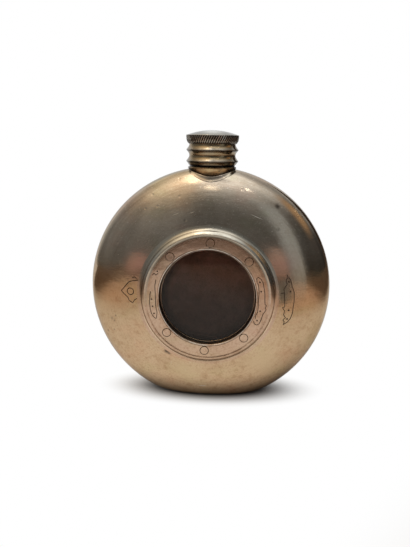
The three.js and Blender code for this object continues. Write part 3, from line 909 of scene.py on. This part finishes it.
ring_solder = turn_front("ring_solder", [
    (26.3, 17.2), (26.3, 18.3), (26.48, 18.3), (26.6, 18.12), (26.8, 17.92), (27.0, 17.76), (27.25, 17.6),
    (27.55, 17.45), (27.9, 17.32), (28.3, dome_depth(28.3)), (28.3, 16.9)])
dress(ring_solder, ring_pewter, "flask", "pewter_ring", angle=50)

window = turn_front("window_pane", [
    (0, 17.1), (19.7, 17.1), (20.1, 16.8), (20.1, 14.4), (19.7, 14.12), (0, 14.12)])
dress(window, glass, "flask", "window_glass", "window_glass")

inner_gasket = turn_front("inner_gasket", [
    (20.15, 12.74), (20.15, 14.06), (18.9, 14.06), (18.65, 13.85), (18.6, 13.4), (18.65, 12.95),
    (18.9, 12.74)])
dress(inner_gasket, rubber, "flask", "gasket_rubber", "window_gasket_inner")

window_seat = turn_front("window_seat", [
    (23.4, 11.5), (23.4, 14.9), (25.5, 14.9), (25.5, 16.05), (23.4, 16.4), (23.4, 18.2), (20.5, 18.2),
    (20.5, 12.7), (18.6, 12.7), (18.6, 11.5)], 96)
soften(window_seat, 0.15)
dress(window_seat, inside_tarnish, "flask", "pewter_tarnished", "window_seat_ring")


# Neck


def body_block():
    """The body's whole outside as a cutter."""
    half = section(0, 40)
    half[-1] = (BODY_RADIUS, 0)
    whole = half + [(radius, -depth) for radius, depth in reversed(half[:-1])]
    return turn_front("body_block", whole, 160)


def dome_top(across, deep):
    """The height of the body's outside above the foot, near the neck."""
    radius = BODY_RADIUS * (1 - (abs(deep) / BODY_HALF_DEPTH) ** BODY_FULLNESS) ** (1 / BODY_FULLNESS)
    return WINDOW_HEIGHT + math.sqrt(radius ** 2 - across ** 2)


def thread_bar(name, inner, outer, inner_half, outer_half, low, turns):
    """A bar of the thread's section, wound upwards as a right-hand screw, with its ends closed."""
    bar = start_piece(name)
    draw_chain([
        upright(inner, low - inner_half), upright(outer, low - outer_half), upright(outer, low + outer_half),
        upright(inner, low + inner_half), upright(inner, low - inner_half)])
    bpy.ops.mesh.select_all(action="SELECT")
    bpy.ops.mesh.remove_doubles(threshold=HAIR * MM)
    bpy.ops.object.mode_set(mode="OBJECT")
    take(bar)
    bpy.ops.object.modifier_add(type="SCREW")
    change = bar.modifiers[-1]
    change.axis = "Z"
    change.angle = FULL_TURN * turns
    change.screw_offset = THREAD_PITCH * MM * turns
    change.steps = change.render_steps = int(THREAD_STEPS * turns)
    change.use_merge_vertices = False
    bpy.ops.object.modifier_apply(modifier=change.name)
    bpy.ops.object.mode_set(mode="EDIT")
    bpy.ops.mesh.select_mode(type="EDGE")
    bpy.ops.mesh.select_all(action="DESELECT")
    bpy.ops.mesh.select_non_manifold()
    bpy.ops.mesh.fill()
    bpy.ops.mesh.select_mode(type="VERT")
    close_up()
    bpy.ops.object.mode_set(mode="OBJECT")
    return bar


collar = turn_upright("collar", [
    (9.3, 84), (9.3, 92.2), (9.36, 93.2), (9.52, 93.9), (9.74, 94.35), (9.8, 94.62), (9.78, 94.84),
    (9.66, 94.98), (9.4, 95.05), (9.24, 95.1), (9.2, 95.58), (9.1, 95.62), (7.6, 95.62), (7.55, 95.5),
    (7.55, 84)])
combine(collar, body_block())
dress(collar, tarnish, "flask", "pewter_tarnished", "neck_collar")

solder = turn_upright("collar_solder", [
    (9.1, -0.3), (10.3, -0.3), (10.3, 0), (10.0, 0.06), (9.76, 0.18), (9.58, 0.36), (9.45, 0.6), (9.36, 0.9),
    (9.1, 0.9)])
for vertex in solder.data.vertices:
    across, deep, rise = vertex.co / MM
    top = dome_top(across, deep)
    thinned = min(max((93.6 - top) / 2.5, 0.12), 1)  # at the sides, where the dome is high
    vertex.co.z = (top + rise * thinned) * MM
dress(solder, body_pewter, "flask", "pewter_body", angle=50)

spout = turn_upright("spout", [
    (7.2, 89.6), (7.2, 95.2), (6.9, 95.5), (6.4, 95.75), (6.4, 104.6), (6.3, 104.85), (6.05, 104.98),
    (5.6, 105.0), (5.32, 104.9), (5.2, 104.65), (5.2, 89.6)])
combine(spout, thread_bar("spout_thread", 6.3, 7.2, 0.96, 0.4, 97.35, 1.797), "UNION")
dress(spout, spout_pewter, "flask", "pewter_body", "neck_spout")


# Cap


def bead_line(stations):
    """The cap's side from its bottom edge up to the knurl: two narrow beads with round hollows between."""
    points = []
    for i in range(stations + 1):
        rise = BEAD_COUNT * BEAD_PITCH * i / stations
        swing = math.sin(math.pi * (rise - FIRST_BEAD) / BEAD_PITCH)
        dip = math.hypot(swing, BEAD_ROUND) - BEAD_ROUND
        points.append((CAP_WAIST + BEAD_STAND * (1 - dip), CAP_FOOT + rise))
    return points


def low_dome(stations):
    """The cap's top from its rim to its middle, with a small chamfer first."""
    points = [(DOME_RADIUS + 0.06, DOME_FOOT - 0.07)]
    for i in range(stations + 1):
        share = 1 - i / stations
        points.append((DOME_RADIUS * share, DOME_FOOT + DOME_RISE * (1 - share ** 2)))
    return points


KNURL_COURSES = (  # how far each course of the teeth rises, and its width over that of the last
    (0.3, 1.033), (0.4, 1.03), (0.5, 1.022), (0.65, 1.015), (0.8, 1.006), (0.73, 1.0), (0.07, 0.995))


def knurl_band():
    """The knurled rim: a ring of flat-topped teeth drawn up in leaning courses, narrower at its lower edge,
    with dirt between the teeth."""
    band = start_piece("knurl_band")
    bpy.ops.mesh.primitive_circle_add(
        vertices=3 * KNURL_TEETH, radius=KNURL_TIP * MM, location=(0, 0, KNURL_FOOT * MM))
    bpy.ops.object.mode_set(mode="OBJECT")
    for edge in band.data.edges:
        edge.select = False
    for i, vertex in enumerate(band.data.vertices):
        vertex.select = i % 3 == 1
    bpy.ops.object.mode_set(mode="EDIT")
    root = KNURL_ROOT / KNURL_TIP
    bpy.ops.transform.resize(value=(root, root, 1), center_override=(0, 0, 0))
    bpy.ops.mesh.select_all(action="SELECT")
    bpy.ops.transform.resize(value=(0.9, 0.9, 1), center_override=(0, 0, 0))
    for rise, share in KNURL_COURSES:
        bpy.ops.mesh.extrude_region_move(TRANSFORM_OT_translate={"value": (0, 0, rise * MM)})
        bpy.ops.transform.resize(value=(share, share, 1), center_override=(0, 0, 0))
        turn = -math.tan(KNURL_LEAN) / KNURL_TIP * rise
        bpy.ops.transform.rotate(value=turn, orient_axis="Z", center_override=(0, 0, 0))
    bpy.ops.mesh.select_mode(type="EDGE")
    bpy.ops.mesh.select_all(action="DESELECT")
    bpy.ops.mesh.select_non_manifold()
    bpy.ops.mesh.edge_face_add()
    bpy.ops.mesh.select_mode(type="VERT")
    close_up()
    bpy.ops.object.mode_set(mode="OBJECT")
    paint(band, knurl_pewter)
    band.data.materials.append(knurl_dirt)
    widest = {}
    for vertex in band.data.vertices:
        level = round(vertex.co.z / MM, 2)
        widest[level] = max(widest.get(level, 0), vertex.co.xy.length)
    deep = [v.co.xy.length < 0.98 * widest[round(v.co.z / MM, 2)] for v in band.data.vertices]
    for face in band.data.polygons:
        face.material_index = int(len(face.vertices) == 4 and any(deep[v] for v in face.vertices))
    return band


cap = turn_upright("cap", [
    (8.95, CAP_FOOT), *bead_line(89), (10.1, 104.75), (10.1, 107.4), *low_dome(14), (0, 106.6), (8.7, 106.6),
    (8.8, 106.5), (8.8, 95.9)])
paint(cap, cap_pewter)
band = knurl_band()
drill(band, KNURL_BORE, 20, upright(0, 104), knurl_pewter, 96)
combine(cap, band, "UNION")
smooth(cap)
fit(cap, "cap", "pewter_cap", "cap_shell")

bush = turn_upright("cap_bush", [(8.5, 96.35), (8.5, 104.95), (6.7, 104.95), (6.7, 96.35)])
combine(bush, thread_bar("bush_groove", 6.6, 7.5, 1.19, 0.7, 94.15, 4.6))
dress(bush, brass, "cap", "brass_insert", "cap_thread_insert")

liner = turn_upright("cap_liner", [
    (0, 105.06), (8.3, 105.06), (8.5, 105.25), (8.5, 106.35), (8.3, 106.54), (0, 106.54)], 96)
dress(liner, cork, "cap_seal", "cork_seal", "cap_seal")


# Stage: a pale sheet that runs up behind, on a brown table, in a softly lit room. Its sizes are in metres.


def table_brown(finish):
    """Brown boards with their grain running away from the viewer: a painted pool of light makes them paler in
    front of the flask, and painted shade darkens them to its sides and further ahead."""
    place = place_of(finish)
    away = reckon(finish, "ABSOLUTE", part_of(finish, place, "X"))
    # painted pool of light in front of the flask, darker further ahead
    ahead = between(finish, part_of(finish, place, "Y"), -0.25, -0.7)
    board = blend(finish, ahead, (0.86, 0.68, 0.58), (0.2, 0.14, 0.11))
    # painted shade to the flask's sides
    aside = total(finish, away, (part_of(finish, place, "Y"), 0.8))
    board = blend(finish, between(finish, aside, 0.1, 0.28), board, (0.17, 0.12, 0.09))
    figure = cloud(finish, place, 30, 4, (1, 0.08, 1))
    return blend(finish, between(finish, figure, 0.4, 0.65, 0, 0.2), board, (0.75, 0.68, 0.62), "MULTIPLY")


def white_paper():
    """Paper that looks plain white but for the flask's soft shadow, which is also painted darker into the
    paper's colour near the foot, with brown boards past its edges.
    """
    white = (0.96, 0.96, 0.96)
    finish = new_finish("white_paper", white, 0.0, 0.9)
    place = place_of(finish)
    across = part_of(finish, place, "X")
    deep = part_of(finish, place, "Y")
    shadow = out_from(finish, place, (0.001, 0, 0), (0.87, 1.95, 1))
    mirrored_shadow = out_from(finish, place, (0.06, 0.012, 0), (1, 1.6, 1))
    ahead = total(finish, deep, (across, -1.3))
    leftward = reckon(finish, "MULTIPLY", across, -1.0)
    left_rear = total(finish, leftward, (between(finish, deep, 0.1, 0.4), -1.2))
    beside = total(finish, reckon(finish, "MAXIMUM", across, left_rear), (deep, -0.36))
    past_edge = reckon(
        finish, "MAXIMUM", between(finish, beside, 0.1, 0.21), between(finish, ahead, -0.15, -0.27))
    # painted shadow: the paper's colour darkens towards the flask's foot
    under = blend(finish, between(finish, shadow, 0.044, 0.018), white, (0.34, 0.34, 0.34))
    connect(finish, "Base Color", blend(finish, past_edge, under, table_brown(finish)))
    rays = add(finish, "ShaderNodeLightPath").outputs
    unshaded = between(finish, shadow, 0.018, 0.044)
    straight = both(finish, rays["Is Camera Ray"], unshaded)
    bounced = both(
        finish, reckon(finish, "MAXIMUM", rays["Is Glossy Ray"], rays["Is Transmission Ray"]), unshaded,
        between(finish, mirrored_shadow, 0.02, 0.075), between(finish, beside, 0.2, 0.05))
    on_paper = reckon(finish, "SUBTRACT", 1.0, past_edge)
    seen = both(finish, reckon(finish, "MAXIMUM", straight, bounced), on_paper)
    lit = finish.node_tree.nodes["Principled BSDF"].outputs[0]
    plain_white = add(finish, "ShaderNodeEmission", links={"Strength": 1.0}).outputs[0]
    show_mixed(finish, seen, lit, plain_white)
    return finish


def brown_table():
    finish = new_finish("brown_table", (0.3, 0.2, 0.15), 0.0, 0.6)
    connect(finish, "Base Color", table_brown(finish))
    return finish


def paper_sheet():
    """A plane whose far edge is widened, drawn up in a round and then straight up."""
    round_steps, stride, rise = 8, 0.05, 0.6
    clear_selection()
    bpy.ops.mesh.primitive_plane_add(size=1, location=(0, 0.2, 0))
    sheet = bpy.context.object
    sheet.name = "paper_sheet"
    bpy.ops.object.mode_set(mode="EDIT")
    bpy.ops.mesh.select_all(action="SELECT")
    bpy.ops.transform.resize(value=(1.2, 1.0, 1), center_override=(0, 0.2, 0))
    bpy.ops.object.mode_set(mode="OBJECT")
    bpy.ops.object.transform_apply(location=True, rotation=True, scale=True)
    for vertex in sheet.data.vertices:
        vertex.select = vertex.co.y > 0.3
    for edge in sheet.data.edges:
        edge.select = all(sheet.data.vertices[v].select for v in edge.vertices)
    for face in sheet.data.polygons:
        face.select = False
    bpy.ops.object.mode_set(mode="EDIT")
    bpy.ops.transform.resize(value=(2.0, 1, 1), center_override=(0, 0, 0))
    for i in range(round_steps):
        lean = math.pi / 2 * (i + 0.5) / round_steps
        bpy.ops.mesh.extrude_region_move(
            TRANSFORM_OT_translate={"value": (0, stride * math.cos(lean), stride * math.sin(lean))})
    bpy.ops.mesh.extrude_region_move(TRANSFORM_OT_translate={"value": (0, 0, rise)})
    bpy.ops.object.mode_set(mode="OBJECT")
    return sheet


sheet = paper_sheet()
paint(sheet, white_paper())
smooth(sheet, 60)
clear_selection()
bpy.ops.mesh.primitive_plane_add(size=4, location=(0, -1.2, -0.001))
table_top = bpy.context.object
table_top.name = "table_top"
paint(table_top, brown_table())


def lamp(name, place, aim, width, height, strength, colour):
    """A soft panel of even brightness: a strength of 1 looks white."""
    clear_selection()
    bpy.ops.object.light_add(type="AREA", location=place)
    panel = bpy.context.object
    panel.name = name
    panel.data.shape = "RECTANGLE"
    panel.data.size = width
    panel.data.size_y = height
    panel.data.energy = strength * math.pi * width * height
    panel.data.color = colour
    panel.rotation_euler = (Vector(aim) - Vector(place)).to_track_quat("-Z", "Y").to_euler()
    panel.visible_camera = False


lamp("ceiling_bulb", (-0.05, -0.52, 0.97), (0, 0, 0.05), 0.1, 0.06, 4, (1.0, 0.93, 0.8))
lamp("left_bulb", (-0.22, -0.24, 0.97), (0, 0, 0.05), 0.05, 0.05, 7, (1.0, 0.84, 0.6))
lamp("right_bulb", (0.36, -0.36, 0.97), (0, 0, 0.05), 0.05, 0.05, 6, (1.0, 0.97, 0.92))
lamp("side_bulb", (0.637, 0.19, 0.505), (0.03, 0, 0.07), 0.045, 0.045, 7, (1.0, 0.88, 0.66))


def card(name, corners, strength, colour, fade):
    """A card that the metal reflects, out of the picture, with its corners in millimetres. It fades out at
    each edge over a share of its width."""
    clear_selection()
    bpy.ops.mesh.primitive_plane_add(size=1, location=(0, 0, 0))
    board = bpy.context.object
    board.name = name
    for vertex, corner in zip(board.data.vertices, corners):
        vertex.co = Vector(corner) * MM
    finish = new_finish(name, colour, 0.0, 1.0)
    laid = add(finish, "ShaderNodeTexCoord").outputs["UV"]
    share = 1.0
    for axis in ("X", "Y"):
        along = part_of(finish, laid, axis)
        share = both(finish, between(finish, along, 0.0, fade), between(finish, along, 1.0, 1 - fade), share)
    glow = add(finish, "ShaderNodeEmission", links={"Color": (*colour, 1), "Strength": strength}).outputs[0]
    clear = add(finish, "ShaderNodeBsdfTransparent").outputs[0]
    show_mixed(finish, share, clear, glow)
    paint(board, finish)
    board.visible_camera = False
    board.visible_shadow = False
    board.visible_diffuse = False


card("grey_card", ((108, -110, -10), (158, -82, -10), (68, -131, 250), (158, -82, 250)),
     0.5, (0.86, 0.94, 1.0), 0.3)
card("side_glow_card", ((495, -84, 192), (495, 196, 192), (281, -84, 480), (281, 196, 480)),
     0.55, (1.0, 0.68, 0.4), 0.4)
card("low_grey_card", ((66, -132, 0), (122, -102, 0), (66, -132, 46), (122, -102, 46)),
     0.22, (0.9, 0.95, 1.0), 0.3)
card("left_wood_card", ((-440, -321, -8), (-260, -479, -8), (-440, -321, 132), (-260, -479, 132)),
     0.52, (1.0, 0.72, 0.62), 0.4)
card("right_wood_card", ((188, -482, -14), (372, -358, -14), (188, -482, 178), (372, -358, 178)),
     0.5, (1.0, 0.76, 0.69), 0.4)

# How bright the room is, from a little below level to straight up
ROOM_LIGHT = (
    (-0.2, 0.08), (0.0, 0.1), (0.15, 0.15), (0.3, 0.19), (0.5, 0.22), (0.63, 0.31), (0.74, 0.57),
    (0.84, 1.02), (0.91, 1.45), (0.97, 1.85), (1.0, 2.1))
MOST_LIGHT = 2.1


def light_room():
    """The room's own light: brighter upwards and to the left, warm on the left and cool on the right."""
    room = bpy.data.worlds.new("softly_lit_room")
    bpy.context.scene.world = room
    room.use_nodes = True
    look = add(room, "ShaderNodeTexCoord").outputs["Generated"]
    across = part_of(room, look, "X")
    up = part_of(room, look, "Z")
    lift = total(room, up, (across, -0.08), (reckon(room, "ABSOLUTE", across), 0.03))
    low, high = ROOM_LIGHT[0][0], ROOM_LIGHT[-1][0]
    risen = add(room, "ShaderNodeMapRange", links={"Value": lift, "From Min": low, "From Max": high})
    steps = add(room, "ShaderNodeValToRGB", links={0: risen.outputs[0]})
    stops = steps.color_ramp.elements
    while len(stops) < len(ROOM_LIGHT):
        stops.new(0.5)
    for stop, (rise, light) in zip(stops, ROOM_LIGHT):
        stop.position = (rise - low) / (high - low)
        stop.color = (light / MOST_LIGHT, light / MOST_LIGHT, light / MOST_LIGHT, 1)
    overhead = measure(room, "DISTANCE", look, (0.06, -0.19, 0.98))
    uneven = between(room, cloud(room, look, 3.2, 2), 0.3, 0.7, 0.8, 1.2)
    low_down = between(room, up, 0.8, 0.5)
    behind = both(
        room, between(room, part_of(room, look, "Y"), 0.3, 0.7),
        between(room, total(room, up, (across, -0.5)), -0.2, 0.02))
    sides = total(
        room, between(room, across, -0.02, -0.4, -0.28, 0.4), (between(room, across, 0.15, 0.6), 0.2),
        (between(room, across, 0.7, 0.92), -0.4), (behind, 2.6))
    level = both(
        room, part_of(room, steps.outputs[0], "X"), between(room, overhead, 0.04, 0.14, 0.55, 1.0), uneven,
        total(room, 1.0, (both(room, sides, low_down), 1.0)))
    golden = both(room, between(room, across, 0.0, -0.35), between(room, up, 0.35, 0.75))
    tone = blend(room, golden, (0.95, 0.98, 1.0), (1.0, 0.87, 0.68))
    high_left = both(room, between(room, across, 0.0, -0.15), between(room, up, 0.9, 0.98))
    strength = both(room, level, total(room, 1.0, (golden, -0.06), (high_left, 0.6)), MOST_LIGHT)
    background = room.node_tree.nodes["Background"].inputs
    room.node_tree.links.new(tone, background["Color"])
    room.node_tree.links.new(strength, background["Strength"])


light_room()

# Camera: a little right of the middle, above the flask and looking down on it
CAMERA_PLACE = Vector((13.13, -253.1, 105.53)) * MM
CAMERA_TURN = 0.0605
CAMERA_TILT = 0.2138  # below level
CAMERA_ROLL = 0.01635
SENSOR_WIDTH = 36
LENS_SHARE = 615 / 547  # the lens's length over the sensor's width
bpy.ops.object.camera_add()
camera = bpy.context.object
camera.data.sensor_fit = "AUTO"
camera.data.sensor_width = SENSOR_WIDTH
camera.data.lens = LENS_SHARE * SENSOR_WIDTH
camera.data.clip_start = 0.01
stand = Matrix.Translation(CAMERA_PLACE)
turned = Matrix.Rotation(CAMERA_TURN, 4, "Z")
tilted = Matrix.Rotation(math.pi / 2 - CAMERA_TILT, 4, "X")
rolled = Matrix.Rotation(CAMERA_ROLL, 4, "Z")
camera.matrix_world = stand @ turned @ tilted @ rolled
bpy.context.scene.camera = camera
bpy.context.scene.view_settings.view_transform = "Standard"
